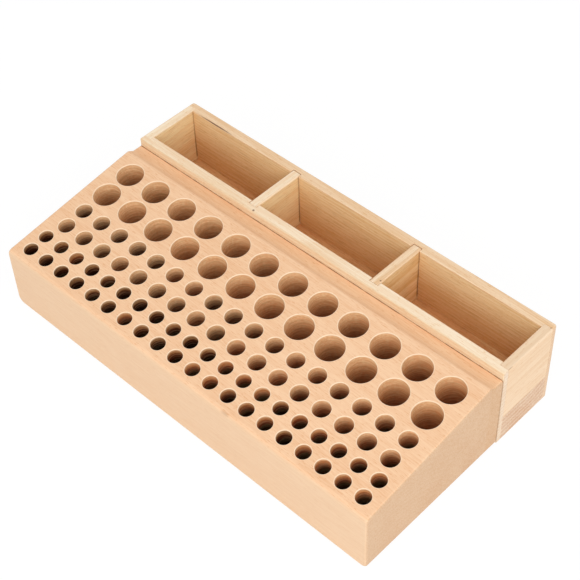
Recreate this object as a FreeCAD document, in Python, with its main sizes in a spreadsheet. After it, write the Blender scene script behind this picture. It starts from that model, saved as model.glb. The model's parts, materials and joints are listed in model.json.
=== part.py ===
"""Wooden tool caddy: a drilled, sloping block with a three-part open tray glued along its back.

Frame: millimetres, +Z up, +X to the right along the length, the front towards -Y.
The origin is the middle of the underside.
"""
import FreeCAD, Part
import Sketcher
import os

# Driving sizes in millimetres, each with what it is on the object.
SIZES = (
    ("length", 255.0, "whole caddy, end to end"),
    ("front_height", 39.1, "front face, up to where the slope would meet it"),
    ("ridge_height", 51.6, "top of the slope"),
    ("ledge_height", 49.5, "flat ledge behind the ridge"),
    ("bevel_run", 3.5, "bevel from the ridge back to the ledge"),
    ("ledge_width", 6.1, "flat ledge between the bevel and the tray"),
    ("hole_floor", 10.5, "height of the middle of every hole's floor"),
    ("small_hole", 8.0, "diameter of the small holes"),
    ("medium_hole", 9.5, "diameter of the medium holes"),
    ("large_hole", 15.5, "diameter of the large holes"),
    ("small_web", 4.4, "wood between neighbours in a row of small holes"),
    ("medium_web", 4.8, "wood between neighbours in a row of medium holes"),
    ("large_web", 5.0, "wood between neighbours in a row of large holes"),
    ("small_row_web", 2.9, "wood between the two rows of small holes"),
    ("medium_row_web", 3.3, "wood between the two rows of medium holes"),
    ("large_row_web", 2.1, "wood between the two rows of large holes"),
    ("front_rim", 4.8, "wood in front of the first row, along the slope"),
    ("small_medium_web", 3.1, "wood between the small and the medium rows"),
    ("medium_large_web", 3.1, "wood between the medium and the large rows"),
    ("ridge_rim", 4.0, "wood behind the last row, up to the ridge"),
    ("end_rim", 2.0, "least wood between a row's end hole and the block's end"),
    ("brow_radius", 3.0, "rounded edge between the front and the slope"),
    ("block_edge_radius", 1.0, "rounded ends and foot of the block"),
    ("tray_depth", 42.0, "tray, front to back"),
    ("tray_height", 54.3, "tray walls"),
    ("wall_thickness", 5.9, "front and rear boards of the tray"),
    ("end_thickness", 5.2, "end boards of the tray"),
    ("bottom_thickness", 18.0, "bottom board of the tray"),
    ("groove_depth", 2.4, "rabbets and grooves in the front and rear boards"),
    ("tray_corner_radius", 1.5, "rounded upright rear corners of the tray"),
    ("eased_radius", 0.8, "sanded edges of the tray's boards"),
    ("divider_thickness", 5.5, "dividers"),
    ("divider_play", 0.2, "clearance on each side of a divider in its groove"),
    ("divider_front_play", 0.1, "clearance at the front end of a divider in its groove"),
    ("divider_rear_play", 0.6, "clearance at the rear end, wide enough to show as a dark gap"),
)

doc = FreeCAD.newDocument("tool_caddy")
sheet = doc.addObject("Spreadsheet::Sheet", "Sizes")
for row, (alias, size, meaning) in enumerate(SIZES, start=1):
    sheet.set(f"A{row}", alias)
    sheet.set(f"B{row}", str(size))
    sheet.set(f"C{row}", meaning)
    sheet.setAlias(f"B{row}", alias)
doc.recompute()

# Expressions for what follows from the driving sizes, in the order in which they build on each other.
S = "Sizes."

# Rows of holes: the first row of each size, measured up the slope from its front edge.
SMALL_ROW = f"({S}front_rim + {S}small_hole / 2)"
SMALL_ROW_PITCH = f"({S}small_hole + {S}small_row_web)"
SMALL_TO_MEDIUM = f"({S}small_hole / 2 + {S}small_medium_web + {S}medium_hole / 2)"
MEDIUM_ROW = f"({SMALL_ROW} + {SMALL_ROW_PITCH} + {SMALL_TO_MEDIUM})"
MEDIUM_ROW_PITCH = f"({S}medium_hole + {S}medium_row_web)"
MEDIUM_TO_LARGE = f"({S}medium_hole / 2 + {S}medium_large_web + {S}large_hole / 2)"
LARGE_ROW = f"({MEDIUM_ROW} + {MEDIUM_ROW_PITCH} + {MEDIUM_TO_LARGE})"
LARGE_ROW_PITCH = f"({S}large_hole + {S}large_row_web)"

# The rows set how long the slope is, and the slope sets how deep the block is.
SLOPE_LENGTH = f"({LARGE_ROW} + {LARGE_ROW_PITCH} + {S}large_hole / 2 + {S}ridge_rim)"
SLOPE_ANGLE = f"asin(({S}ridge_height - {S}front_height) / {SLOPE_LENGTH})"
SLOPE_RUN = f"({SLOPE_LENGTH} * cos({SLOPE_ANGLE}))"
BLOCK_DEPTH = f"({SLOPE_RUN} + {S}bevel_run + {S}ledge_width)"

# Plan of the caddy and of the tray.
FRONT_Y = f"(-({BLOCK_DEPTH} + {S}tray_depth) / 2)"
REAR_Y = f"(({BLOCK_DEPTH} + {S}tray_depth) / 2)"
TRAY_Y = f"({REAR_Y} - {S}tray_depth)"
TRAY_MIDDLE_Y = f"({REAR_Y} - {S}tray_depth / 2)"
HALF_LENGTH = f"({S}length / 2)"
BETWEEN_GROOVES = f"({S}tray_depth - 2 * {S}wall_thickness + 2 * {S}groove_depth)"
GROOVE_FLOOR = f"({S}wall_thickness - {S}groove_depth)"
GROOVE_WIDTH = f"({S}divider_thickness + 2 * {S}divider_play)"
DIVIDER_X = f"({S}length / 6)"
DIVIDER_FRONT = f"({S}divider_front_play - {BETWEEN_GROOVES} / 2)"
DIVIDER_REAR = f"({BETWEEN_GROOVES} / 2 - {S}divider_rear_play)"
ABOVE_BOTTOM = f"({S}tray_height - {S}bottom_thickness)"

HALF_TURN = FreeCAD.Rotation(FreeCAD.Vector(0, 0, 1), 180)
NEAR = 1e-4


def value(expression):
    """An expression's present value, as a plain number."""
    result = sheet.evalExpression(expression)
    return float(getattr(result, "Value", result))


def new_body(label, place, rotation=FreeCAD.Rotation()):
    """A sub-part, set in the caddy by three expressions."""
    body = doc.addObject("PartDesign::Body", label)
    body.Label = label
    body.Placement = FreeCAD.Placement(FreeCAD.Vector(), rotation)
    for axis, expression in zip("xyz", place):
        body.setExpression(f"Placement.Base.{axis}", expression)
    return body


def new_sketch(body, name, role):
    """An empty sketch on one of the body's own origin planes."""
    plane = next(p for p in body.Origin.OriginFeatures if p.Role == role)
    sketch = body.newObject("Sketcher::SketchObject", name)
    sketch.AttachmentSupport = (plane, [""])
    sketch.MapMode = "FlatFace"
    return sketch


def bind(sketch, constraint, expression):
    """Add a constraint and tie its value to an expression."""
    sketch.setExpression(f"Constraints[{sketch.addConstraint(constraint)}]", expression)


def bind_point(sketch, geometry, end, place):
    """Hold one point of the sketch at an (x, y) pair of expressions."""
    for kind, expression in zip(("DistanceX", "DistanceY"), place):
        distance = Sketcher.Constraint(kind, -1, 1, geometry, end, value(expression))
        bind(sketch, distance, expression)


def draw_outline(sketch, corners):
    """A closed outline with straight sides through corners given as expressions."""
    first = sketch.GeometryCount
    count = len(corners)
    points = [FreeCAD.Vector(value(x), value(y), 0) for x, y in corners]
    for i in range(count):
        sketch.addGeometry(Part.LineSegment(points[i], points[(i + 1) % count]), False)
    for i in range(count):
        following = first + (i + 1) % count
        sketch.addConstraint(Sketcher.Constraint("Coincident", first + i, 2, following, 1))
        bind_point(sketch, first + i, 1, corners[i])


def draw_rectangle(sketch, left, right, front, back):
    """A rectangle whose four sides are given as expressions."""
    draw_outline(sketch, [(left, front), (right, front), (right, back), (left, back)])


def draw_circle(sketch, centre, diameter):
    """A circle whose centre and diameter are given as expressions."""
    middle = FreeCAD.Vector(value(centre[0]), value(centre[1]), 0)
    normal = FreeCAD.Vector(0, 0, 1)
    circle = sketch.addGeometry(Part.Circle(middle, normal, value(diameter) / 2), False)
    bind_point(sketch, circle, 3, centre)
    bind(sketch, Sketcher.Constraint("Diameter", circle, value(diameter)), diameter)


def pad(body, sketch, name, length, symmetric=False):
    """Raise a sketch into a solid."""
    feature = body.newObject("PartDesign::Pad", name)
    feature.Profile = sketch
    feature.SideType = "Symmetric" if symmetric else "One side"
    feature.setExpression("Length", length)
    doc.recompute()
    return feature


def pocket(body, sketch, name, depth, reversed_side=False):
    """Cut a sketch into the body, and make sure that it took wood away."""
    before = body.Shape.Volume
    feature = body.newObject("PartDesign::Pocket", name)
    feature.Profile = sketch
    feature.Reversed = reversed_side
    feature.setExpression("Length", depth)
    doc.recompute()
    if body.Shape.Volume > before - NEAR:
        raise RuntimeError(f"{name} cuts nothing out of {body.Label}")
    return feature


def round_edges(body, name, radius, chosen):
    """Round every edge of the body whose bounding box passes the test called chosen."""
    base = body.Tip
    edges = enumerate(base.Shape.Edges, start=1)
    names = [f"Edge{i}" for i, edge in edges if chosen(edge.BoundBox)]
    feature = body.newObject("PartDesign::Fillet", name)
    feature.Base = (base, names)
    feature.setExpression("Radius", radius)
    doc.recompute()
    return feature


def flat_at(low, high, *places):
    """True where a bounding box has no width and lies at one of the places."""
    return high - low < NEAR and any(abs(low - place) < NEAR for place in places)


def drill_row(body, name, size, up_slope):
    """One row of holes, square to the slope, as many along the length as it has room for."""
    hole = f"{S}{size}_hole"
    pitch = f"({hole} + {S}{size}_web)"
    room = f"({S}length - 2 * {S}end_rim - {hole})"
    count = f"(floor({room} / {pitch}) + 1)"
    first_x = f"(-({count} - 1) * {pitch} / 2)"
    mouth_height = f"({S}front_height + {up_slope} * sin({SLOPE_ANGLE}))"
    depth = f"(({mouth_height} - {S}hole_floor) / cos({SLOPE_ANGLE}))"

    mouth = new_sketch(body, f"{name}_mouth", "XY_Plane")
    tilt = FreeCAD.Rotation(FreeCAD.Vector(1, 0, 0), value(SLOPE_ANGLE))
    mouth.AttachmentOffset = FreeCAD.Placement(FreeCAD.Vector(), tilt)
    mouth.setExpression("AttachmentOffset.Base.z", f"{S}front_height")
    mouth.setExpression("AttachmentOffset.Rotation.Angle", SLOPE_ANGLE)
    draw_circle(mouth, (first_x, up_slope), hole)
    bore = pocket(body, mouth, f"{name}_bore", depth)

    row = body.newObject("PartDesign::LinearPattern", f"{name}_row")
    row.Originals = [bore]
    row.Direction = (mouth, ["H_Axis"])
    row.Mode = "Spacing"
    row.setExpression("Offset", pitch)
    row.setExpression("Occurrences", count)
    body.Tip = row
    doc.recompute()


def make_tool_block():
    """The solid block: its side profile drawn out to the full length, rounded, then drilled."""
    body = new_body("tool_block", ("0", FRONT_Y, "0"))
    profile = new_sketch(body, "side_profile", "YZ_Plane")
    draw_outline(profile, [
        ("0", "0"),
        (BLOCK_DEPTH, "0"),
        (BLOCK_DEPTH, f"{S}ledge_height"),
        (f"{SLOPE_RUN} + {S}bevel_run", f"{S}ledge_height"),
        (SLOPE_RUN, f"{S}ridge_height"),
        ("0", f"{S}front_height"),
    ])
    pad(body, profile, "block_blank", f"{S}length", symmetric=True)

    front_top = value(f"{S}front_height")
    end = value(HALF_LENGTH)
    back = value(BLOCK_DEPTH)
    round_edges(
        body, "brow", f"{S}brow_radius",
        lambda box: flat_at(box.YMin, box.YMax, 0) and flat_at(box.ZMin, box.ZMax, front_top),
    )
    round_edges(
        body, "ends_and_foot", f"{S}block_edge_radius",
        lambda box: not flat_at(box.YMin, box.YMax, back) and (
            flat_at(box.XMin, box.XMax, -end, end)
            or flat_at(box.YMin, box.YMax, 0) and flat_at(box.ZMin, box.ZMax, 0)
        ),
    )
    for size, first_row, row_pitch in (
        ("small", SMALL_ROW, SMALL_ROW_PITCH),
        ("medium", MEDIUM_ROW, MEDIUM_ROW_PITCH),
        ("large", LARGE_ROW, LARGE_ROW_PITCH),
    ):
        drill_row(body, f"{size}_front", size, first_row)
        drill_row(body, f"{size}_rear", size, f"({first_row} + {row_pitch})")
    return body


def make_long_wall(label, outer_y, rotation, corner_radius):
    """A front or rear board. Seen from above, its outer face is at 0 and its inner face faces +Y."""
    body = new_body(label, ("0", outer_y, "0"), rotation)
    inner = f"{S}wall_thickness"
    board = new_sketch(body, "board", "XY_Plane")
    draw_rectangle(board, f"-{HALF_LENGTH}", HALF_LENGTH, "0", inner)
    pad(body, board, "wall_blank", f"{S}tray_height")

    grooves = new_sketch(body, "grooves", "XY_Plane")
    inside_end = f"({HALF_LENGTH} - {S}end_thickness)"
    draw_rectangle(grooves, f"-{HALF_LENGTH}", f"-{inside_end}", GROOVE_FLOOR, inner)
    draw_rectangle(grooves, inside_end, HALF_LENGTH, GROOVE_FLOOR, inner)
    for middle in (f"-{DIVIDER_X}", DIVIDER_X):
        left = f"({middle} - {GROOVE_WIDTH} / 2)"
        right = f"({middle} + {GROOVE_WIDTH} / 2)"
        draw_rectangle(grooves, left, right, GROOVE_FLOOR, inner)
    pocket(body, grooves, "end_rabbets_and_grooves", f"{S}tray_height", reversed_side=True)

    rebate = new_sketch(body, "rebate", "XY_Plane")
    draw_rectangle(rebate, f"-{HALF_LENGTH}", HALF_LENGTH, GROOVE_FLOOR, inner)
    pocket(body, rebate, "bottom_rebate", f"{S}bottom_thickness", reversed_side=True)

    end = value(HALF_LENGTH)
    top = value(f"{S}tray_height")
    round_edges(
        body, "corners", corner_radius,
        lambda box: flat_at(box.XMin, box.XMax, -end, end) and flat_at(box.YMin, box.YMax, 0),
    )
    round_edges(
        body, "eased_edges", f"{S}eased_radius",
        lambda box: box.YMin < NEAR and flat_at(box.ZMin, box.ZMax, 0, top)
        and box.XLength > end,
    )
    return body


def make_end_board(label, outer_x, rotation):
    """An end board, standing on the bottom board. Its outer face is at 0 and its inner face faces +X."""
    body = new_body(label, (outer_x, TRAY_MIDDLE_Y, f"{S}bottom_thickness"), rotation)
    board = new_sketch(body, "board", "XY_Plane")
    half_width = f"({BETWEEN_GROOVES} / 2)"
    draw_rectangle(board, "0", f"{S}end_thickness", f"-{half_width}", half_width)
    pad(body, board, "end_blank", ABOVE_BOTTOM)
    top = value(ABOVE_BOTTOM)
    round_edges(
        body, "eased_edge", f"{S}eased_radius",
        lambda box: flat_at(box.XMin, box.XMax, 0) and flat_at(box.ZMin, box.ZMax, top),
    )
    return body


def make_bottom_board():
    """The thick bottom board, let into the rebates of the front and rear boards."""
    body = new_body("bottom_board", ("0", TRAY_MIDDLE_Y, "0"))
    board = new_sketch(body, "board", "XY_Plane")
    half_width = f"({BETWEEN_GROOVES} / 2)"
    draw_rectangle(board, f"-{HALF_LENGTH}", HALF_LENGTH, f"-{half_width}", half_width)
    pad(body, board, "bottom_blank", f"{S}bottom_thickness")
    end = value(HALF_LENGTH)
    round_edges(
        body, "eased_edges", f"{S}eased_radius",
        lambda box: flat_at(box.XMin, box.XMax, -end, end) and flat_at(box.ZMin, box.ZMax, 0),
    )
    return body


def make_divider(label, middle_x):
    """A loose divider, standing in its two grooves on the bottom board."""
    body = new_body(label, (middle_x, TRAY_MIDDLE_Y, f"{S}bottom_thickness"))
    board = new_sketch(body, "board", "XY_Plane")
    half_thickness = f"({S}divider_thickness / 2)"
    draw_rectangle(board, f"-{half_thickness}", half_thickness, DIVIDER_FRONT, DIVIDER_REAR)
    pad(body, board, "divider_blank", ABOVE_BOTTOM)
    side = value(half_thickness)
    top = value(ABOVE_BOTTOM)
    round_edges(
        body, "eased_edges", f"{S}eased_radius",
        lambda box: flat_at(box.XMin, box.XMax, -side, side) and flat_at(box.ZMin, box.ZMax, top),
    )
    return body


def check(bodies):
    """Stop if anything in the document failed, or if a sub-part is not one sound solid."""
    for thing in doc.Objects:
        if "Invalid" in thing.State or "Error" in thing.State:
            raise RuntimeError(f"{thing.Label} failed: {thing.State}")
    for body in bodies:
        shape = body.Shape
        if shape.isNull() or not shape.isValid() or len(shape.Solids) != 1:
            raise RuntimeError(f"{body.Label} is not one sound solid")


parts = [
    make_tool_block(),
    make_long_wall("front_wall", TRAY_Y, FreeCAD.Rotation(), f"{S}eased_radius"),
    make_long_wall("rear_wall", REAR_Y, HALF_TURN, f"{S}tray_corner_radius"),
    make_end_board("left_end", f"-{HALF_LENGTH}", FreeCAD.Rotation()),
    make_end_board("right_end", HALF_LENGTH, HALF_TURN),
    make_bottom_board(),
    make_divider("left_divider", f"-{DIVIDER_X}"),
    make_divider("right_divider", DIVIDER_X),
]
doc.recompute()
check(parts)

os.makedirs("parts", exist_ok=True)
for part in parts:
    part.Shape.exportStep(f"parts/{part.Label}.step")
    box = part.Shape.BoundBox
    print(f"{part.Label}: {box.XLength:.2f} x {box.YLength:.2f} x {box.ZLength:.2f} mm,"
          f" {part.Shape.Volume / 1000:.1f} cm3, {len(part.Shape.Faces)} faces")
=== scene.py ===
# %% [markdown]
# # A beech tool caddy
# The object is a bench caddy for hand tools: a sloping block of beech with ninety-eight drilled sockets,
# and an open tray with two lift-out dividers glued along its back.
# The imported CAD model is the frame. It fixes every size and place, and Blender adds the wood.

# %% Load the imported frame
import json
import math
import bmesh
import bpy
from mathutils import Matrix, Vector
from mathutils.bvhtree import BVHTree


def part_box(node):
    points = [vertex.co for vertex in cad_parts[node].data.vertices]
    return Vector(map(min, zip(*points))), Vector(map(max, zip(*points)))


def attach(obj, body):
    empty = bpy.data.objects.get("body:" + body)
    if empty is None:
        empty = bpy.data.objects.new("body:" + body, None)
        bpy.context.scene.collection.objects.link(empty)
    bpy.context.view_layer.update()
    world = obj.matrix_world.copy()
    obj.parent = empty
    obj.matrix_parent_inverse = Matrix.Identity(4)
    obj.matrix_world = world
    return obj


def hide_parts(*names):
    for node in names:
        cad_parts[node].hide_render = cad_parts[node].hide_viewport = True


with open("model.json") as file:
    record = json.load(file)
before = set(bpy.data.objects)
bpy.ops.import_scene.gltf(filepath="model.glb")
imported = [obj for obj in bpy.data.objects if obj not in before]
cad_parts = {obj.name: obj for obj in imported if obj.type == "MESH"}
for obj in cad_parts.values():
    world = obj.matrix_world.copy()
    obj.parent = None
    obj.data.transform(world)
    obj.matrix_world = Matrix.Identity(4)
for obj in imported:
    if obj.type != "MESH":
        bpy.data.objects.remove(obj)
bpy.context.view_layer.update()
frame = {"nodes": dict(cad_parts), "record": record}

MM = 0.001
print("nodes:", ", ".join(sorted(frame["nodes"])))

# %% [markdown]
# ## Where the sockets are
# The record states two sockets of each size by name: the first of the front row and the last of the rear row.
# The higher number is the count. Every row is centred on the block, so one end hole gives the whole row.
# Reading them back means that nothing is typed in twice, so a change in the CAD moves the holes here too.

# %% Read the rows of sockets from the record
def read_rows(record):
    """For each row of sockets: radius, depth, axis, count, first mouth and step along the row."""
    bores = [mount for mount in record["mounts"] if mount["kind"] == "bore"]
    names = [mount["name"].split("_") for mount in bores]
    rows = {}
    for mount, (size, _, row, _) in zip(bores, names):
        axis = Vector(mount["axis"])
        depth = mount["dims"]["length_mm"] * MM
        mouth = Vector(mount["pos_m"]) + axis * depth / 2
        count = max(int(number) for other, _, _, number in names if other == size)
        rows[f"{size}_{row}"] = {
            "radius": mount["dims"]["r_mm"] * MM, "depth": depth, "axis": axis, "count": count,
            "first": Vector((-abs(mouth.x), mouth.y, mouth.z)),
            "step": Vector((2 * abs(mouth.x) / (count - 1), 0.0, 0.0)),
        }
    return rows


sockets = read_rows(frame["record"])
for name, row in sockets.items():
    print(f"{name}: {row['count']} holes of {2 * row['radius'] / MM:.1f} mm,"
          f" {row['step'].length / MM:.2f} mm apart, {row['depth'] / MM:.1f} mm deep")

# %% [markdown]
# ## Small helpers for nodes
# A material is a graph of nodes. These helpers keep the graphs readable: the first adds a node and sets its
# inputs, where an input may be a number or another node's output, and the others stand for the nodes that
# are used most. Colours are written as they look on screen, and the last helper makes them the linear
# colours that Blender mixes.

# %% Helpers for nodes
MIX_FACTOR, MIX_FIRST, MIX_SECOND, MIX_RESULT = 0, 6, 7, 2


def add_node(tree, kind, inputs=(), **settings):
    """A new node. Inputs are (socket name or number, value or output socket) pairs."""
    node = tree.nodes.new(kind)
    for key, setting in settings.items():
        setattr(node, key, setting)
    for socket, given in inputs:
        if isinstance(given, bpy.types.NodeSocket):
            tree.links.new(given, node.inputs[socket])
        else:
            node.inputs[socket].default_value = given
    return node


def maths(tree, operation, *given, clamp=False):
    """The output of a Math node on one, two or three numbers or sockets."""
    return add_node(tree, "ShaderNodeMath", enumerate(given), operation=operation, use_clamp=clamp).outputs[0]


def vector_maths(tree, operation, *given):
    """The output of a Vector Math node: a number for a length or a dot product, and else a vector."""
    node = add_node(tree, "ShaderNodeVectorMath", enumerate(given), operation=operation)
    return node.outputs["Value" if operation in ("LENGTH", "DOT_PRODUCT") else "Vector"]


def split_xyz(tree, vector):
    """The X, Y and Z of a vector."""
    return add_node(tree, "ShaderNodeSeparateXYZ", [(0, vector)]).outputs


def remap(tree, given, low, high, to_low=0.0, to_high=1.0):
    """A smooth step from one range to another."""
    settings = [
        ("Value", given), ("From Min", low), ("From Max", high), ("To Min", to_low), ("To Max", to_high),
    ]
    return add_node(tree, "ShaderNodeMapRange", settings, interpolation_type="SMOOTHSTEP").outputs[0]


def noise(tree, place, scale, detail, roughness=0.5):
    """The outputs of a Noise Texture node."""
    settings = [("Vector", place), ("Scale", scale), ("Detail", detail), ("Roughness", roughness)]
    return add_node(tree, "ShaderNodeTexNoise", settings).outputs


def mix_colour(tree, blend, factor, first, second):
    """The colour output of a Mix node. Names repeat among its sockets, so these go by number."""
    inputs = [(MIX_FACTOR, factor), (MIX_FIRST, first), (MIX_SECOND, second)]
    return add_node(tree, "ShaderNodeMix", inputs, data_type="RGBA", blend_type=blend).outputs[MIX_RESULT]


def srgb(red, green, blue):
    """A colour as it looks on screen, 0 to 255, as the linear colour that Blender mixes."""
    channels = [c / 255 for c in (red, green, blue)]
    return (*(c / 12.92 if c < 0.04045 else ((c + 0.055) / 1.055) ** 2.4 for c in channels), 1.0)


# %% [markdown]
# ## Beech
# Wood is a solid texture: growth rings are tubes round the middle of the tree, and a board is a piece cut
# out of them. So the colour comes from where a point lies in the tree, not from a picture on its faces.
# Long faces then show straight grain, the ends show arcs, and the two meet at every edge.
# Each board gets its own place in the tree, because no two boards were neighbours.

# %% The beech finish
GRAIN_TURN = {"x": 0.0, "y": -math.pi / 2}
GRAIN_AXIS = {"x": (1.0, 0.0, 0.0), "y": (0.0, 1.0, 0.0)}
LEAN = math.radians(1.2)
TILT = 0.6 * LEAN
RING_DRIFT = 9.0
STREAK_ROUGHNESS = 0.55
FIBRE_DEPTH = 1.75
TONE_DEPTH = 0.8
FLECK_DEPTH = 0.75
LEAST_DEPTH = 0.22
END_GRAIN = (0.765, 0.795, 0.81, 1.0)


def new_finish(name):
    """A new material and its node tree."""
    material = bpy.data.materials.new(name)
    material.use_nodes = True
    return material, material.node_tree


def wire_up(tree, colour, roughness, relief, shine, bump_strength, bump_height):
    """Join the colour, the roughness and the relief of a wood to its shader."""
    shader = tree.nodes["Principled BSDF"]
    bump = add_node(tree, "ShaderNodeBump", [
        ("Strength", bump_strength), ("Distance", bump_height), ("Height", relief),
    ])
    for name, given in (("Base Color", colour), ("Roughness", roughness), ("Normal", bump.outputs[0])):
        tree.links.new(given, shader.inputs[name])
    shader.inputs["Specular IOR Level"].default_value = shine


def beech(name, grain, pith, pale, deep, after, ring_width, ring_depth, ends=END_GRAIN, fibre=38.0):
    """Bare sanded beech.

    Grain is the axis of the tree, and pith is a point on its middle. Pith, ring width and fibre, which is
    the length of the fibres, are in mm. The function called after has the last word: it takes the node
    tree, the texture coordinates, the wood's colour, and a function for noise drawn out along the grain.
    """
    material, tree = new_finish(name)
    place = add_node(tree, "ShaderNodeTexCoord").outputs

    # Millimetres from the middle of the tree, with the grain along X.
    turn = Matrix.Rotation(GRAIN_TURN[grain], 3, "Z")
    in_tree = add_node(tree, "ShaderNodeMapping", [
        ("Vector", place["Object"]),
        ("Location", -(turn @ Vector(pith))),
        ("Rotation", (0.0, TILT, GRAIN_TURN[grain] + LEAN)),
        ("Scale", (1 / MM,) * 3),
    ]).outputs[0]

    def streaks(along, across, detail):
        """Noise drawn out along the grain. Along and across are lengths in mm."""
        stretched = vector_maths(tree, "MULTIPLY", in_tree, (1 / along, 1 / across, 1 / across))
        return noise(tree, stretched, scale=1.0, detail=detail, roughness=STREAK_ROUGHNESS)

    # Growth rings, bent a little by slow noise.
    drift = vector_maths(tree, "SUBTRACT", streaks(160.0, 30.0, 1.0)["Color"], (0.5, 0.5, 0.5))
    drift = vector_maths(tree, "MULTIPLY", drift, (0.0, RING_DRIFT, RING_DRIFT))
    bent = vector_maths(tree, "ADD", in_tree, drift)
    radius = vector_maths(tree, "LENGTH", vector_maths(tree, "MULTIPLY", bent, (0.0, 1.0, 1.0)))
    phase = maths(tree, "FRACT", maths(tree, "DIVIDE", radius, ring_width))
    late_wood = maths(tree, "MULTIPLY", remap(tree, phase, 0.1, 0.86), remap(tree, phase, 1.0, 0.9))

    # Fibres, the short dark flecks that mark beech, and slow changes of tone.
    fibres = streaks(fibre, 0.7, 3.0)[0]
    flecks = remap(tree, streaks(3.0, 0.45, 1.0)[0], 0.60, 0.72)
    tone = streaks(90.0, 14.0, 2.0)[0]

    # All of them add to the depth of colour, from 0 for the pale wood to 1 for the deep wood.
    depth = maths(tree, "MULTIPLY", late_wood, ring_depth)
    depth = maths(tree, "MULTIPLY_ADD", maths(tree, "SUBTRACT", fibres, 0.5), FIBRE_DEPTH, depth)
    depth = maths(tree, "MULTIPLY_ADD", maths(tree, "SUBTRACT", tone, 0.5), TONE_DEPTH, depth)
    depth = maths(tree, "MULTIPLY_ADD", flecks, FLECK_DEPTH, depth)
    depth = maths(tree, "ADD", depth, LEAST_DEPTH, clamp=True)
    colour = mix_colour(tree, "MIX", depth, pale, deep)

    # End grain drinks in more light, so the sawn ends are darker.
    facing = vector_maths(tree, "DOT_PRODUCT", place["Normal"], GRAIN_AXIS[grain])
    end_grain = remap(tree, maths(tree, "ABSOLUTE", facing), 0.35, 0.85)
    colour = after(tree, place, mix_colour(tree, "MULTIPLY", end_grain, colour, ends), streaks)

    roughness = remap(tree, fibres, 0.25, 0.75, 0.48, 0.66)
    relief = maths(tree, "SUBTRACT", fibres, maths(tree, "MULTIPLY", flecks, 0.7))
    wire_up(tree, colour, roughness, relief, shine=0.28, bump_strength=0.22, bump_height=0.06 * MM)
    return material


# %% [markdown]
# ## Painted light on the block, its glue and its marks
# The block's upright front is painted greyer than its slope, for the white light that the floor throws back
# at it and for its sheen, and the ledge is painted ruddier, for the warm light that bounces into it. A dark
# line of glue shows where the tray joins it. A single mark is a soft ball of darker colour, placed in the
# wood by its middle and its reach.

# %% Marks, and the faces of the block
FRONT_BOUNCE_GREY = srgb(223, 194, 162)
LEDGE_BOUNCE_TINT = (0.985, 0.955, 0.91, 1.0)
GLUE = srgb(134, 66, 8)
MARK = srgb(110, 70, 44)
BROW_PATCH = ((36.5, -69.6, 39.0), (4.0, 2.0, 1.5), 0.25)

block_low, block_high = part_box("tool_block")
block_corners = [v.co for v in frame["nodes"]["tool_block"].data.vertices]
ridge = max(block_corners, key=lambda corner: corner.z)


def spots(tree, place, colour, marks):
    """Small dark marks. Each is a centre and a reach along X, Y and Z in mm, and a strength."""
    for centre, reach, strength in marks:
        away = vector_maths(tree, "SUBTRACT", place["Object"], Vector(centre) * MM)
        away = vector_maths(tree, "DIVIDE", away, Vector(reach) * MM)
        near = remap(tree, vector_maths(tree, "LENGTH", away), 1.0, 0.3, 0.0, strength)
        colour = mix_colour(tree, "MIX", near, colour, MARK)
    return colour


def block_faces(tree, place, colour, streaks):
    """Painted bounce light and sheen on the front, painted warm bounce light on the ledge, and dark glue
    along the joint.
    """
    # Painted light: the upright front is greyer, for the floor's white bounce light and the wood's sheen.
    forward = vector_maths(tree, "DOT_PRODUCT", place["Normal"], (0.0, -1.0, 0.0))
    colour = mix_colour(tree, "MIX", remap(tree, forward, 0.5, 0.95, 0.0, 0.6), colour, FRONT_BOUNCE_GREY)
    y = split_xyz(tree, place["Object"])[1]
    # Painted light: the ledge behind the ridge is ruddier, for warm light bounced from the boards around it.
    ledge = remap(tree, y, ridge.y - 0.5 * MM, ridge.y + 1.5 * MM)
    colour = mix_colour(tree, "MULTIPLY", ledge, colour, LEDGE_BOUNCE_TINT)
    joint = remap(tree, y, block_high.y - 0.9 * MM, block_high.y - 0.1 * MM)
    glue = maths(tree, "MULTIPLY", joint, remap(tree, streaks(6.0, 3.0, 1.0)[0], 0.35, 0.6, 0.6, 1.0))
    colour = mix_colour(tree, "MIX", glue, colour, GLUE)
    return spots(tree, place, colour, [BROW_PATCH])


print(f"ridge: {ridge.z / MM:.1f} mm high, {(ridge.y - block_low.y) / MM:.1f} mm behind the front")

# %% [markdown]
# ## The insides of the tray
# The insides see less light, so their colour is painted darker as painted shade, more so further down, and
# the floor and the upright corners get more of it. They keep the marks of the saw. The room inside is read
# from the openings in the record. A point counts as inside when it lies in that room, so no face has to be
# picked by hand.

# %% Insides of the tray
# The stated room stops just short of the boards, so a face this close to it is inside too.
CLOSE = 0.35 * MM
SHEER = 0.02 * MM
# Painted shade inside the tray: one tint near the rim and a deeper one lower down.
UPPER_SHADE_TINT = (0.96, 0.95, 0.815, 1.0)
LOWER_SHADE_TINT = (0.90, 0.795, 0.63, 1.0)
SAWN_TINT = (0.89, 0.86, 0.81, 1.0)
CROSS_TINT = (1.0, 0.985, 0.94, 1.0)
# Painted shade on the tray's floor and in its upright corners.
FLOOR_SHADE_TINT = (0.98, 0.88, 0.76, 1.0)
CORNER_SHADE_TINT = (0.50, 0.36, 0.26, 1.0)
STRIP_TINT = (0.87, 0.85, 0.80, 1.0)
TRAY_MARKS = [
    ((-39.3, 28.9, 54.3), (0.9, 0.9, 0.9), 0.9),
    ((44.2, 35.0, 54.3), (0.7, 0.7, 0.7), 0.8),
    ((126.3, 66.2, 54.3), (0.7, 0.7, 0.7), 0.5),
    ((127.2, 33.0, 54.2), (0.4, 2.4, 0.5), 0.35),
    ((-103.5, 64.3, 54.2), (17.0, 0.5, 0.7), 0.9),
]

rooms = [opening["box_m"] for opening in frame["record"]["physics"]["openings"]]
room_low = Vector([min(room[0][i] for room in rooms) for i in range(3)])
room_high = Vector([max(room[1][i] for room in rooms) for i in range(3)])


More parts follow.
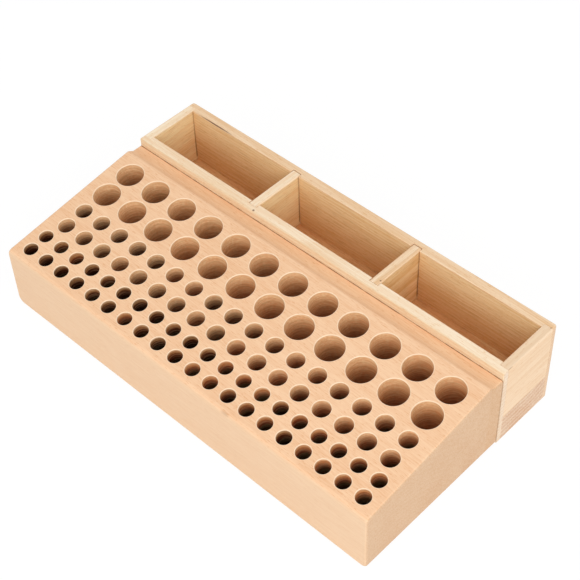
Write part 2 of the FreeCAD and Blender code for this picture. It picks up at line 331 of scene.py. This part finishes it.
def tray_insides(tree, place, colour, streaks):
    """Painted shade on every face that looks into the tray, and a darker tone on the strip above the ledge.
    """
    x, y, z = split_xyz(tree, place["Object"])
    inside = remap(tree, z, room_high.z - 0.3 * MM, room_high.z - 1.2 * MM)
    for along, low, high in ((x, room_low.x, room_high.x), (y, room_low.y, room_high.y)):
        for edge, inward in ((low - CLOSE, SHEER), (high + CLOSE, -SHEER)):
            inside = maths(tree, "MULTIPLY", inside, remap(tree, along, edge - inward, edge + inward))
    # Painted shade: darker and warmer further down.
    deep = remap(tree, z, room_high.z - 2.0 * MM, room_high.z - 30.0 * MM)
    shade_tint = mix_colour(tree, "MIX", deep, UPPER_SHADE_TINT, LOWER_SHADE_TINT)
    colour = mix_colour(tree, "MULTIPLY", inside, colour, shade_tint)

    # Saw marks, yellower cross boards and painted shade on the floor.
    sawn = maths(tree, "MULTIPLY", inside, remap(tree, streaks(9.0, 0.8, 2.0)[0], 0.5, 0.7))
    colour = mix_colour(tree, "MULTIPLY", sawn, colour, SAWN_TINT)
    sideways, _, upward = split_xyz(tree, place["Normal"])
    sideways = remap(tree, maths(tree, "ABSOLUTE", sideways), 0.3, 0.7)
    crossing = maths(tree, "MULTIPLY", inside, sideways)
    colour = mix_colour(tree, "MULTIPLY", crossing, colour, CROSS_TINT)
    # Painted shade on the floor of the tray.
    floor = maths(tree, "MULTIPLY", maths(tree, "MULTIPLY", inside, deep), remap(tree, upward, 0.5, 0.95))
    colour = mix_colour(tree, "MULTIPLY", floor, colour, FLOOR_SHADE_TINT)

    # Painted shade in the upright corners: at the end boards, and at the rear end of every board that
    # crosses.
    corner = remap(tree, maths(tree, "ABSOLUTE", x), room_high.x - 0.4 * MM, room_high.x + 0.1 * MM)
    corner = maths(tree, "SUBTRACT", corner, sideways, clamp=True)
    behind = remap(tree, y, room_high.y - 0.5 * MM, room_high.y)
    corner = maths(tree, "MULTIPLY_ADD", behind, sideways, corner, clamp=True)
    corner = maths(tree, "MULTIPLY", corner, maths(tree, "MULTIPLY_ADD", deep, 0.5, 0.5))
    corner = maths(tree, "MULTIPLY", corner, remap(tree, z, room_low.z + 0.5 * MM, room_low.z + 3.0 * MM))
    colour = mix_colour(tree, "MULTIPLY", maths(tree, "MULTIPLY", corner, inside), colour, CORNER_SHADE_TINT)

    strip = remap(tree, y, block_high.y + 1.0 * MM, block_high.y + 0.3 * MM)
    colour = mix_colour(tree, "MULTIPLY", strip, colour, STRIP_TINT)
    return spots(tree, place, colour, TRAY_MARKS)


print("room in the tray in mm:", [round(side / MM, 1) for side in room_high - room_low])

# %% [markdown]
# ## Wood for every piece
# The block came from one plank and the boards from others, some creamy and some more like honey. Each entry
# says which way the grain runs, where the board lay in its tree, its two tones, and how wide and how dark its
# rings are. The ends were sanded more or less finely, so they differ in tone too.

# %% Choose the wood
PEACH = srgb(248, 207, 168)
PEACH_DEEP = srgb(233, 180, 135)
PALE_CREAM = srgb(255, 236, 207)
CREAM = srgb(255, 234, 205)
CREAM_DEEP = srgb(241, 204, 161)
STRAW = srgb(251, 225, 193)
STRAW_DEEP = srgb(224, 172, 130)
SAND = srgb(243, 215, 183)
SAND_DEEP = srgb(229, 190, 147)
HONEY = srgb(247, 217, 182)
HONEY_DEEP = srgb(231, 187, 138)
SANDED_ENDS = (0.88, 0.89, 0.95, 1.0)
PINK_ENDS = (0.84, 0.85, 0.89, 1.0)

block_finish = beech("block_beech", "x", (0.0, -52.0, -34.0), PEACH, PEACH_DEEP, block_faces,
                     ring_width=3.1, ring_depth=0.12, fibre=12.0)
boards = {
    "front_wall": ("x", (0.0, 41.0, -140.0), CREAM, CREAM_DEEP, 2.6, 0.35),
    "rear_wall": ("x", (40.0, 150.0, -180.0), HONEY, HONEY_DEEP, 2.2, 0.35),
    "left_end": ("y", (-190.0, 50.0, 20.0), PALE_CREAM, CREAM_DEEP, 2.6, 0.35),
    "right_end": ("y", (210.0, 40.0, 30.0), SAND, SAND_DEEP, 2.6, 0.2),
    "bottom_board": ("x", (0.0, 40.0, 150.0), STRAW, STRAW_DEEP, 3.2, 0.45),
    "left_divider": ("y", (-90.0, 50.0, 40.0), CREAM, CREAM_DEEP, 3.4, 0.35),
    "right_divider": ("y", (100.0, 50.0, 60.0), STRAW, HONEY_DEEP, 3.8, 0.6),
}
board_finishes = {
    node: beech(f"{node}_beech", grain, pith, pale, deep, tray_insides, ring_width, ring_depth,
                PINK_ENDS if node == "bottom_board" else SANDED_ENDS)
    for node, (grain, pith, pale, deep, ring_width, ring_depth) in boards.items()
}
print("finishes:", 1 + len(board_finishes))

# %% [markdown]
# ## Drilled walls
# A drill leaves fine rings round the wall. The walls also get painted shade, darker the deeper and the
# slimmer the hole is, and a painted highlight on the rounded lip at the mouth. The finish measures how far a
# point lies under the slope. It reads the hole's width, and the hole's share of painted shade, from two
# attributes that the drilling leaves on each wall.

# %% The drilled finish
USUAL_SHADE_SHARE = 0.45
SLIM, MEDIUM = [2 * sockets[f"{size}_front"]["radius"] / MM for size in ("small", "medium")]
WIDE = 12.0
DEEP_SHADE_DELAY = 4.0
FIBRES_PER_METRE = (40.0, 900.0, 900.0)
ROUND_PER_METRE = (70.0, 70.0, 70.0)
FRESH, FRESH_DARK = srgb(255, 218, 170), srgb(248, 196, 146)
RING_TINT = srgb(242, 236, 230)
ACROSS_TINT = (0.93, 0.93, 0.93, 1.0)
# Painted shade in the holes: a warmer tint deeper down, dark shade colours, a reddish tint near the mouth and
# a dark tint further down.
WARM_SHADE_TINT = (1.0, 0.93, 0.84, 1.0)
SHADE_RED, SHADE_BROWN = srgb(148, 58, 16), srgb(80, 36, 15)
MOUTH_SHADE_TINT = (1.0, 0.83, 0.63, 1.0)
DEEP_SHADE_TINT = (0.35, 0.55, 0.55, 1.0)
# Painted highlight on the rounded lip of each socket.
LIP_HIGHLIGHT = srgb(253, 225, 193)


def drilled_beech(name, mouth, axis):
    """The walls of the sockets: a painted highlight on the lip, rings from the drill, and painted shade that
    grows with depth.
    """
    material, tree = new_finish(name)
    place = add_node(tree, "ShaderNodeTexCoord").outputs
    below = vector_maths(tree, "DOT_PRODUCT", vector_maths(tree, "SUBTRACT", mouth, place["Object"]), axis)
    depth = maths(tree, "DIVIDE", below, MM)
    width, shade_share = [
        add_node(tree, "ShaderNodeAttribute", attribute_name=known).outputs["Fac"]
        for known in ("bore_width", "bore_heat")
    ]
    width = maths(tree, "DIVIDE", width, MM)
    spread = remap(tree, width, SLIM, WIDE, 1.0, 0.3)
    shade_share = maths(tree, "MULTIPLY_ADD", maths(tree, "SUBTRACT", shade_share, USUAL_SHADE_SHARE), spread, USUAL_SHADE_SHARE)

    # Fibres run along the block. Rings change fast with depth and slowly round the wall.
    grain = vector_maths(tree, "MULTIPLY", place["Object"], FIBRES_PER_METRE)
    fibres = noise(tree, grain, scale=1.0, detail=3.0)[0]
    x, y, _ = split_xyz(tree, vector_maths(tree, "MULTIPLY", place["Object"], ROUND_PER_METRE))
    turn = maths(tree, "MULTIPLY_ADD", shade_share, 60.0, depth)
    turned = add_node(tree, "ShaderNodeCombineXYZ", [(0, x), (1, y), (2, turn)]).outputs[0]
    rings = noise(tree, turned, scale=1.3, detail=2.0)[0]

    # Fresh wood, darker where the drill cut across the fibres, and painted warmer further down as warm shade.
    wood = mix_colour(tree, "MIX", remap(tree, fibres, 0.3, 0.7), FRESH, FRESH_DARK)
    wood = mix_colour(tree, "MULTIPLY", remap(tree, rings, 0.38, 0.62), wood, RING_TINT)
    across = vector_maths(tree, "DOT_PRODUCT", place["Normal"], (1.0, 0.0, 0.0))
    wood = mix_colour(tree, "MULTIPLY", maths(tree, "MULTIPLY", across, across), wood, ACROSS_TINT)
    wood = mix_colour(tree, "MULTIPLY", remap(tree, depth, 2.0, 10.0), wood, WARM_SHADE_TINT)

    # Painted shade comes sooner and harder in slim holes than in wide ones, so strength and reach follow
    # straight lines in the width. Reach is the depth of the full painted shade in mm.
    strength = maths(tree, "MULTIPLY_ADD", width, -0.05, 1.24)
    strength = maths(tree, "MULTIPLY", strength, maths(tree, "MULTIPLY_ADD", shade_share, 0.5, 0.75))
    reach = maths(tree, "MINIMUM", maths(tree, "MULTIPLY_ADD", width, 4.33, -29.2),
                  maths(tree, "MULTIPLY_ADD", width, 1.87, -5.9))
    begun = maths(tree, "MULTIPLY", remap(tree, width, SLIM, MEDIUM, -0.45, -0.15),
                  maths(tree, "MULTIPLY_ADD", shade_share, 1.4, 0.3))
    hole_shade = remap(tree, maths(tree, "DIVIDE", depth, reach), begun, 1.0)
    hole_shade = maths(tree, "MULTIPLY", hole_shade, remap(tree, rings, 0.35, 0.65, 0.82, 1.18))
    hole_shade = maths(tree, "MULTIPLY", hole_shade, strength, clamp=True)
    shaded_wood = mix_colour(tree, "MIX", remap(tree, shade_share, 0.2, 0.8), SHADE_RED, SHADE_BROWN)
    colour = mix_colour(tree, "MIX", hole_shade, wood, shaded_wood)

    # The slimmest holes get a reddish painted shade near the mouth. Further down the holes get a darker
    # painted
    # shade: from 4 to 10 mm in the slimmest, and lower by the delay for each mm of width.
    mouth_shade = maths(tree, "MULTIPLY", remap(tree, depth, 0.5, 2.5), remap(tree, depth, 5.5, 3.0))
    mouth_shade = maths(tree, "MULTIPLY", mouth_shade, remap(tree, width, SLIM, MEDIUM, 1.0, 0.1))
    colour = mix_colour(tree, "MULTIPLY", mouth_shade, colour, MOUTH_SHADE_TINT)
    delayed = maths(tree, "MULTIPLY_ADD", width, -DEEP_SHADE_DELAY, depth)
    deep_shade = remap(tree, delayed, 4.0 - DEEP_SHADE_DELAY * SLIM, 10.0 - DEEP_SHADE_DELAY * SLIM)
    colour = mix_colour(tree, "MULTIPLY", deep_shade, colour, DEEP_SHADE_TINT)
    # Painted highlight on the rounded lip at the mouth.
    colour = mix_colour(tree, "MIX", remap(tree, depth, 0.65, 0.3), colour, LIP_HIGHLIGHT)

    roughness = remap(tree, fibres, 0.2, 0.8, 0.55, 0.75)
    relief = maths(tree, "ADD", fibres, rings)
    wire_up(tree, colour, roughness, relief, shine=0.2, bump_strength=0.35, bump_height=0.1 * MM)
    return material


some_row = sockets["large_front"]
socket_finish = drilled_beech("socket_wall_beech", some_row["first"], some_row["axis"])
print("socket walls:", socket_finish.name)

# %% [markdown]
# ## The block from the side
# Before drilling, the block is one long moulding: its side profile drawn out from end to end.
# The slope comes from the mouths of the sockets, and the ridge and the ledge from the corners of the CAD
# solid, so only the radii are written here. Rounding the edges in the mesh, and not only in the shading,
# lets them catch light.

# %% Draw the side profile
BROW_RADIUS, BROW_STEPS = 3.0 * MM, 7
RIDGE_RADIUS, RIDGE_STEPS = 2.4 * MM, 5
TINY = 0.01 * MM


def rounded(corner_before, corner, corner_after, radius, steps):
    """Points of an arc that rounds one corner of a flat outline."""
    inward = (corner_before - corner).normalized()
    outward = (corner_after - corner).normalized()
    half = inward.angle(outward) / 2
    centre = corner + (inward + outward).normalized() * (radius / math.sin(half))
    first = (corner + inward * (radius / math.tan(half)) - centre).normalized()
    last = (corner + outward * (radius / math.tan(half)) - centre).normalized()
    return [centre + radius * first.slerp(last, i / steps) for i in range(steps + 1)]


def side_profile():
    """The block's outline as (y, z) points, from the front foot round by the rear."""
    front, rear = block_low.y, block_high.y
    mouth, axis = some_row["first"], some_row["axis"]
    front_top = mouth.z - (front - mouth.y) * axis.y / axis.z
    ledge_height = max(c.z for c in block_corners if c.y > rear - TINY)
    ledge_front = min(c.y for c in block_corners if c.y > ridge.y + MM and c.z > ledge_height - TINY)
    foot, rear_foot, rear_ledge, bevel_foot, ridge_top, brow = [Vector(corner) for corner in (
        (front, 0.0), (rear, 0.0), (rear, ledge_height), (ledge_front, ledge_height),
        ridge.yz, (front, front_top),
    )]
    return [
        foot, rear_foot, rear_ledge, bevel_foot,
        *rounded(bevel_foot, ridge_top, brow, RIDGE_RADIUS, RIDGE_STEPS),
        *rounded(ridge_top, brow, foot, BROW_RADIUS, BROW_STEPS),
    ]


outline = side_profile()
print("side profile:", len(outline), "points")

# %% [markdown]
# ## The blank of the block
# The profile is drawn out to the full length, and its edges are rounded as sandpaper would do it: the ends
# and the lower edge of the front a little, the foot of each end more, the left one most, and the rear edges
# hardly at all, because the tray is glued there. The faces are then cut into cells. A face with many holes
# in it is hard to split into triangles, and a cell never has to hold more than a few.

# %% Pull the profile out to a blank
END_RADIUS = 1.3 * MM
FOOT_RADIUS = {"left": 4.5 * MM, "right": 3.0 * MM}
SEAM_EASE = 0.2 * MM
SHARP = math.radians(38)
CELLS = 13


def round_edges(mesh, edges, radius, segments, **settings):
    """Round some edges of a mesh by a radius."""
    bmesh.ops.bevel(
        mesh, geom=edges, offset=radius, segments=segments, profile=0.5, affect="EDGES", **settings,
    )


def is_soft(edge):
    """True for the outlines of the block's ends and for the lower edge of its front."""
    if edge.calc_face_angle() < SHARP or all(v.co.y > block_high.y - TINY for v in edge.verts):
        return False
    at_end = all(abs(v.co.x) > block_high.x - TINY for v in edge.verts)
    at_front = all(v.co.y < block_low.y + TINY for v in edge.verts)
    return at_end or at_front or all(v.co.z < max(FOOT_RADIUS.values()) for v in edge.verts)


def cut_into_cells(mesh):
    """Cut a mesh between the rows of sockets, and across its length."""
    mouths = sorted((row["first"] for row in sockets.values()), key=lambda mouth: mouth.y)
    up_slope = some_row["axis"].cross(Vector((-1.0, 0.0, 0.0)))
    lines = [((before + after) / 2, up_slope) for before, after in zip(mouths, mouths[1:])]
    lines += [(block_low.lerp(block_high, i / CELLS), Vector((1.0, 0.0, 0.0))) for i in range(1, CELLS)]
    for point, across in lines:
        everything = mesh.verts[:] + mesh.edges[:] + mesh.faces[:]
        bmesh.ops.bisect_plane(mesh, geom=everything, dist=TINY, plane_co=point, plane_no=across)


def made_mesh(name, mesh):
    """Plain mesh data from a mesh that is being edited."""
    data = bpy.data.meshes.new(name)
    mesh.to_mesh(data)
    mesh.free()
    return data


def block_blank():
    """The moulding with its ends and feet rounded and its rear edges eased, cut into cells."""
    mesh = bmesh.new()
    ends = [[mesh.verts.new((x, p.x, p.y)) for p in outline] for x in (block_low.x, block_high.x)]
    mesh.faces.new(list(reversed(ends[0])))
    mesh.faces.new(ends[1])
    for i in range(len(outline)):
        following = (i + 1) % len(outline)
        mesh.faces.new((ends[0][i], ends[0][following], ends[1][following], ends[1][i]))
    bmesh.ops.recalc_face_normals(mesh, faces=mesh.faces)

    for side, x in (("left", block_low.x), ("right", block_high.x)):
        foot = [e for e in mesh.edges if all(abs(v.co.x - x) < TINY and v.co.z < TINY for v in e.verts)]
        round_edges(mesh, foot, FOOT_RADIUS[side], segments=6)
    soft = [e for e in mesh.edges if is_soft(e)]
    round_edges(mesh, soft, END_RADIUS, segments=4, clamp_overlap=True)
    back = [f for f in mesh.faces if f.normal.y > 0.99]
    rim = {e for f in back for e in f.edges}
    round_edges(mesh, list(rim), SEAM_EASE, segments=2)
    cut_into_cells(mesh)
    return made_mesh("tool_block_wood", mesh)


def place_piece(name, data):
    """A new object at the origin."""
    piece = bpy.data.objects.new(name, data)
    bpy.context.scene.collection.objects.link(piece)
    return piece


block = place_piece("tool_block_wood", block_blank())
block.data.materials.append(block_finish)
print("blank:", len(block.data.polygons), "faces")

# %% [markdown]
# ## The drill bits
# A socket is what a bit leaves behind. Each bit is a lathe shape: a straight shank as deep as the socket,
# with a small flare at the mouth, because the maker's sandpaper softened every rim.

# %% Turn a bit for each row
LIP = 0.38 * MM
ABOVE = 1.0 * MM
AROUND = 56


def drill_bit(name, radius, depth):
    """A solid of revolution about Z. Its tip is at minus depth and the slope's surface is at zero."""
    flare = [(radius + LIP * (1 - math.cos(turn)), -LIP * (1 - math.sin(turn)))
             for turn in (math.radians(a) for a in (0, 30, 60))]
    profile = [(radius, -depth), *flare, (radius + LIP, 0.0), (radius + LIP + ABOVE / 4, ABOVE)]
    mesh = bmesh.new()
    angles = [2 * math.pi * i / AROUND for i in range(AROUND)]
    rings = [[mesh.verts.new((r * math.cos(a), r * math.sin(a), z)) for a in angles] for r, z in profile]
    for lower, upper in zip(rings, rings[1:]):
        for i in range(AROUND):
            following = (i + 1) % AROUND
            mesh.faces.new((lower[i], lower[following], upper[following], upper[i]))
    mesh.faces.new(list(reversed(rings[0])))
    mesh.faces.new(rings[-1])
    bmesh.ops.recalc_face_normals(mesh, faces=mesh.faces)
    return place_piece(name, made_mesh(name, mesh))


bits = {name: drill_bit(f"{name}_bit", row["radius"], row["depth"]) for name, row in sockets.items()}
print("bits:", ", ".join(bits))

# %% [markdown]
# ## Drilling with Geometry Nodes
# Ninety-eight holes in even rows follow a rule, so a node tree drills them: a line of points, a bit on every
# point, and a boolean that takes the bits out of the block. One tree serves all six rows, because its inputs
# say which bit to use, where the first hole is, and how far apart the holes are.
# Some holes also get more painted shade than others. Chance decides, with less of it towards the right,
# nearer the lamps.

# %% Build the drilling tree
# Each hole's share of painted shade: set by chance, and smaller towards the right.
SHADE_FALL = 0.6
SHADE_CHANCE = 0.6
SHADE_LEAST = 0.2


def drilling_tree():
    """A row of holes, cut into the geometry that comes in."""
    tree = bpy.data.node_groups.new("drill_row", "GeometryNodeTree")
    face = tree.interface
    face.new_socket("Wood", in_out="INPUT", socket_type="NodeSocketGeometry")
    for name, kind in (
        ("Bit", "NodeSocketObject"), ("Width", "NodeSocketFloat"), ("First hole", "NodeSocketVector"),
        ("Step", "NodeSocketVector"), ("Count", "NodeSocketInt"), ("Axis", "NodeSocketVector"),
        ("Seed", "NodeSocketInt"), ("Wall finish", "NodeSocketMaterial"),
    ):
        face.new_socket(name, in_out="INPUT", socket_type=kind)
    face.new_socket("Wood", in_out="OUTPUT", socket_type="NodeSocketGeometry")
    given = tree.nodes.new("NodeGroupInput").outputs

    line = add_node(tree, "GeometryNodeMeshLine", [
        ("Count", given["Count"]), ("Start Location", given["First hole"]), ("Offset", given["Step"]),
    ], mode="OFFSET")
    tool = add_node(tree, "GeometryNodeObjectInfo", [("Object", given["Bit"])])
    upright = add_node(tree, "FunctionNodeAlignRotationToVector", [("Vector", given["Axis"])], axis="Z")
    drilled = add_node(tree, "GeometryNodeInstanceOnPoints", [
        ("Points", line.outputs[0]), ("Instance", tool.outputs["Geometry"]), ("Rotation", upright.outputs[0]),
    ])

    # Every bit knows its share of painted shade and its width, and leaves them on the wall that it cuts.
    chance = add_node(tree, "FunctionNodeRandomValue", [("Seed", given["Seed"])], data_type="FLOAT")
    along = maths(tree, "DIVIDE", tree.nodes.new("GeometryNodeInputIndex").outputs[0], given["Count"])
    shade_share = maths(tree, "MULTIPLY_ADD", maths(tree, "SUBTRACT", 0.5, along), SHADE_FALL,
                 maths(tree, "MULTIPLY_ADD", chance.outputs[1], SHADE_CHANCE, SHADE_LEAST), clamp=True)
    known = tree.nodes.new("GeometryNodeCaptureAttribute")
    known.domain = "INSTANCE"
    known.capture_items.new("FLOAT", "Heat")
    tree.links.new(drilled.outputs[0], known.inputs["Geometry"])
    tree.links.new(shade_share, known.inputs["Heat"])
    marked = add_node(tree, "GeometryNodeRealizeInstances", [("Geometry", known.outputs["Geometry"])])
    for name, marking in (("bore_width", given["Width"]), ("bore_heat", known.outputs["Heat"])):
        marked = add_node(tree, "GeometryNodeStoreNamedAttribute", [
            ("Geometry", marked.outputs[0]), ("Name", name), ("Value", marking),
        ], data_type="FLOAT", domain="FACE")
    cut = add_node(tree, "GeometryNodeMeshBoolean", [
        ("Mesh 1", given["Wood"]), ("Mesh 2", marked.outputs[0]),
    ], operation="DIFFERENCE", solver="MANIFOLD")

    whole = add_node(tree, "GeometryNodeRealizeInstances", [("Geometry", cut.outputs[0])])
    width = add_node(tree, "GeometryNodeInputNamedAttribute", [("Name", "bore_width")], data_type="FLOAT")
    walls = add_node(tree, "FunctionNodeCompare", [(0, width.outputs[0]), (1, 0.0)], operation="GREATER_THAN")
    finished = add_node(tree, "GeometryNodeSetMaterial", [
        ("Geometry", whole.outputs[0]), ("Selection", walls.outputs[0]), ("Material", given["Wall finish"]),
    ])
    end = tree.nodes.new("NodeGroupOutput")
    tree.links.new(finished.outputs[0], end.inputs[0])
    return tree


drill_row = drilling_tree()
print("drilling tree:", len(drill_row.nodes), "nodes")

# %% [markdown]
# Each row is one modifier on the block. Inputs are set by the socket's identifier, the stack is then
# turned into a plain mesh, and the modifiers and bits are removed.

# %% Drill the block
def set_inputs(modifier, values):
    """Set a Geometry Nodes modifier's inputs by their names, through the sockets' identifiers."""
    for item in modifier.node_group.interface.items_tree:
        if item.in_out == "INPUT" and item.name in values:
            modifier[item.identifier] = values[item.name]


def made_plain(piece):
    """Replace a piece's mesh by what its modifiers make of it, and remove the modifiers."""
    seen = piece.evaluated_get(bpy.context.evaluated_depsgraph_get())
    data = bpy.data.meshes.new_from_object(seen)
    piece.modifiers.clear()
    piece.data = data
    return piece


for seed, (name, row) in enumerate(sockets.items()):
    drilling = block.modifiers.new(name, "NODES")
    drilling.node_group = drill_row
    set_inputs(drilling, {
        "Bit": bits[name], "Width": 2 * row["radius"], "First hole": row["first"], "Step": row["step"],
        "Count": row["count"], "Axis": row["axis"], "Seed": seed, "Wall finish": socket_finish,
    })
made_plain(block)
for bit in bits.values():
    bpy.data.objects.remove(bit)
print("drilled block:", len(block.data.polygons), "faces,", len(block.data.materials), "finishes")

# %% [markdown]
# A boolean can go wrong without saying so, and then a hole stays closed. So a few rays are sent down every
# hole near its wall, and each has to get almost as far as the floor.

# %% Look into every hole
RAYS = 7
NEAR_WALL = 0.85
NEARLY_ALL = 0.9


def open_holes(mesh, row):
    """How many holes of a row are open."""
    surface = BVHTree.FromPolygons([v.co for v in mesh.vertices], [p.vertices for p in mesh.polygons])
    mouths = [row["first"] + i * row["step"] + row["axis"] * ABOVE for i in range(row["count"])]
    aside = [row["radius"] * NEAR_WALL * Vector((math.cos(a), math.sin(a), 0.0)) for a in range(RAYS)]
    depths = [min(surface.ray_cast(mouth + off, -row["axis"])[3] for off in aside) for mouth in mouths]
    return sum(depth > row["depth"] * NEARLY_ALL for depth in depths)


for name, row in sockets.items():
    print(f"{name}: {open_holes(block.data, row)} of {row['count']} open")

# %% [markdown]
# ## Soft shading on flat wood
# Smooth shading rounds the light over a curve, but near a flat face it would bend that face too. Sharp
# corners are marked by their angle, and weighted normals let the large flat faces keep their own direction.

# %% Shade a piece
def shade(piece):
    """Smooth round parts, keep flat parts flat, and leave a plain mesh."""
    piece.data.shade_smooth()
    piece.data.set_sharp_from_angle(angle=SHARP)
    weighted = piece.modifiers.new("flat_faces_stay_flat", "WEIGHTED_NORMAL")
    weighted.keep_sharp = True
    weighted.weight = 100
    return made_plain(piece)


shade(block)
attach(block, "caddy")
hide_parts("tool_block")
print("block:", len(block.data.polygons), "faces, rides on caddy")

# %% [markdown]
# ## The boards of the tray
# The boards keep the exact shape of their CAD solids: rabbets, grooves and rounded corners. A machined edge
# is never knife sharp, so each copy gets a fine bevel on the edges that are still sharp. Where two boards
# meet flush, the two bevels leave the hairline that shows a real joint.

# %% Plane the boards
BOARD_EASE = 0.22 * MM
SAME_POINT = 0.001 * MM
FLAT = math.radians(1)


def planed_board(node, finish):
    """A copy of a CAD board with merged faces and eased edges."""
    mesh = bmesh.new()
    mesh.from_mesh(frame["nodes"][node].data)
    bmesh.ops.remove_doubles(mesh, verts=mesh.verts, dist=SAME_POINT)
    bmesh.ops.dissolve_limit(mesh, angle_limit=FLAT, verts=mesh.verts, edges=mesh.edges)
    sharp = [e for e in mesh.edges if e.is_manifold and e.calc_face_angle() > SHARP]
    round_edges(mesh, sharp, BOARD_EASE, segments=2, clamp_overlap=True)
    board = place_piece(f"{node}_wood", made_mesh(f"{node}_wood", mesh))
    board.data.materials.append(finish)
    return shade(board)


for node, finish in board_finishes.items():
    board = planed_board(node, finish)
    body = node if node.endswith("divider") else "caddy"
    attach(board, body)
    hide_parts(node)
    print(f"{board.name}: {len(board.data.polygons)} faces, rides on {body}")

# %% [markdown]
# ## The floor
# The photograph is a plain product shot on a white sweep. The floor here is real enough to throw light back
# at the wood, but the camera sees it as plain white, mixed with a small share of the lit floor so that a
# faint shadow stays.

# %% Lay the floor
FLOOR_REACH = 3.0
FLOOR_SHOWS_SHADOW = 0.12
FLOOR_GLOW = 1.03
PAPER = (0.93, 0.93, 0.93, 1.0)
WHITE = (1.0, 1.0, 1.0, 1.0)


def seen_by_camera(tree):
    """1 for what the camera sees, straight or by reflection, and 0 for what only lights other things."""
    rays = add_node(tree, "ShaderNodeLightPath").outputs
    bounced = maths(tree, "MAXIMUM", rays["Is Glossy Ray"], rays["Is Transmission Ray"])
    return maths(tree, "MAXIMUM", rays["Is Camera Ray"], bounced)


def paper_floor():
    """A white floor: mostly plain white where the camera sees it, so that only a faint shadow stays."""
    mesh = bmesh.new()
    bmesh.ops.create_grid(mesh, x_segments=1, y_segments=1, size=FLOOR_REACH)
    floor = place_piece("paper_floor", made_mesh("paper_floor", mesh))
    material, tree = new_finish("white_paper")
    tree.nodes.remove(tree.nodes["Principled BSDF"])
    matt = add_node(tree, "ShaderNodeBsdfDiffuse", [("Color", PAPER)])
    white = add_node(tree, "ShaderNodeEmission", [("Color", WHITE), ("Strength", FLOOR_GLOW)])
    share = maths(tree, "MULTIPLY", seen_by_camera(tree), 1.0 - FLOOR_SHOWS_SHADOW)
    both = add_node(tree, "ShaderNodeMixShader", [(0, share), (1, matt.outputs[0]), (2, white.outputs[0])])
    tree.links.new(both.outputs[0], tree.nodes["Material Output"].inputs["Surface"])
    floor.data.materials.append(material)
    return floor


print("floor:", paper_floor().name)

# %% [markdown]
# ## The light
# The photograph has broad, even light. An even sky does most of the lighting, and with the painted shade in
# the sockets it makes them fade smoothly into the dark. Two large, low lamps at the front and at the right
# reach a little way into the sockets.

# %% Set up the light
SKY = 0.72
FRONT_POWER = 8.0
SIDE_POWER = 4.5
LAMP_AIM = Vector((0.0, 0.0, 0.03))


def even_sky():
    """A white sky of one strength all round, and white where the camera looks past the floor."""
    world = bpy.data.worlds.new("studio_sky")
    bpy.context.scene.world = world
    world.use_nodes = True
    tree = world.node_tree
    strength = maths(tree, "MULTIPLY_ADD", seen_by_camera(tree), 1.0 - SKY, SKY)
    background = tree.nodes["Background"]
    background.inputs["Color"].default_value = WHITE
    tree.links.new(strength, background.inputs["Strength"])


def soft_lamp(name, place, size, power):
    """A square area lamp that points at the middle of the caddy."""
    data = bpy.data.lights.new(name, "AREA")
    data.size = size
    data.energy = power
    lamp = place_piece(name, data)
    lamp.location = place
    lamp.rotation_euler = (LAMP_AIM - Vector(place)).to_track_quat("-Z", "Y").to_euler()


even_sky()
soft_lamp("front_lamp", (0.55, -1.2, 0.8), 1.2, FRONT_POWER)
soft_lamp("side_lamp", (1.2, -0.3, 0.8), 1.0, SIDE_POWER)
print("sky strength:", SKY, "lamp powers:", FRONT_POWER, SIDE_POWER)

# %% [markdown]
# ## The camera
# The corners of the caddy and the centres of its sockets were matched to the photograph, which gave the
# lens, the place and the slight roll of the camera.

# %% Set up the camera
SENSOR = 36.0
LENS = 87.57
CAMERA_PLACE = Vector((356.2, -339.09, 571.0)) * MM
CAMERA_AIM = Vector((-4.66, 19.2, 25.0)) * MM
CAMERA_ROLL = math.radians(-2.43)

lens = bpy.data.cameras.new("photo_camera")
lens.sensor_width = SENSOR
lens.lens = LENS
lens.clip_start = 0.01
camera = place_piece("photo_camera", lens)
facing = (CAMERA_AIM - CAMERA_PLACE).to_track_quat("-Z", "Y").to_matrix()
rolled = facing @ Matrix.Rotation(CAMERA_ROLL, 3, "Z")
camera.matrix_world = Matrix.Translation(CAMERA_PLACE) @ rolled.to_4x4()
bpy.context.scene.camera = camera
bpy.context.scene.view_settings.view_transform = "Standard"
print("lens:", LENS, "mm")
